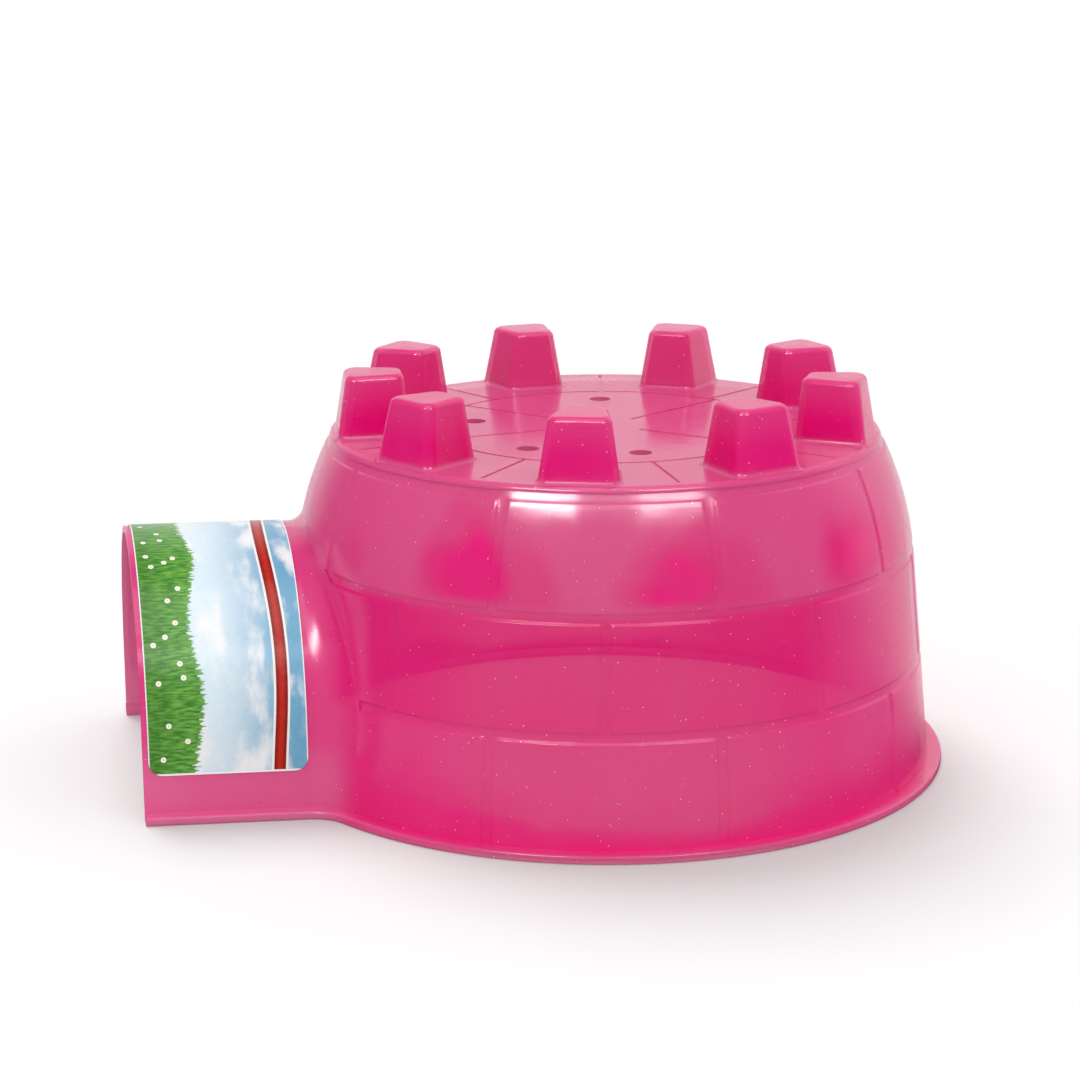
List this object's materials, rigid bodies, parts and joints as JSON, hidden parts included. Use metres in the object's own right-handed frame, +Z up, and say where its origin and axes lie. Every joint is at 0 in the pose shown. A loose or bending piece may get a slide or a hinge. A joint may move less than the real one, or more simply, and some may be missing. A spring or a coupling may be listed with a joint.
{
  "type": "rodent igloo",
  "caption": "Small-animal hide: round moulded dome with brick joints, a flat vented deck ringed by hollow battlement blocks, an arched entrance tunnel, a base flange and a wrap label.",
  "frame": {"origin": "on the ground under the middle of the part's box", "axes": "+X along the tunnel's line towards the dome's back, so the tunnel's mouth faces -X; +Z up"},
  "size_m": [0.3165, 0.26, 0.1505],
  "materials": {
    "moulding": "glossy translucent pink with fine glitter",
    "label": "printed satin label"
  },
  "bodies": {
    "root": {"dome_wall": "moulding", "roof_deck": "moulding", "battlement_1": "moulding", "battlement_2": "moulding", "battlement_3": "moulding", "battlement_4": "moulding", "battlement_5": "moulding", "battlement_6": "moulding", "battlement_7": "moulding", "battlement_8": "moulding", "battlement_9": "moulding", "entrance_tunnel": "moulding", "tunnel_blend": "moulding", "base_flange": "moulding", "wrap_label": "label"}
  },
  "joints": []
}
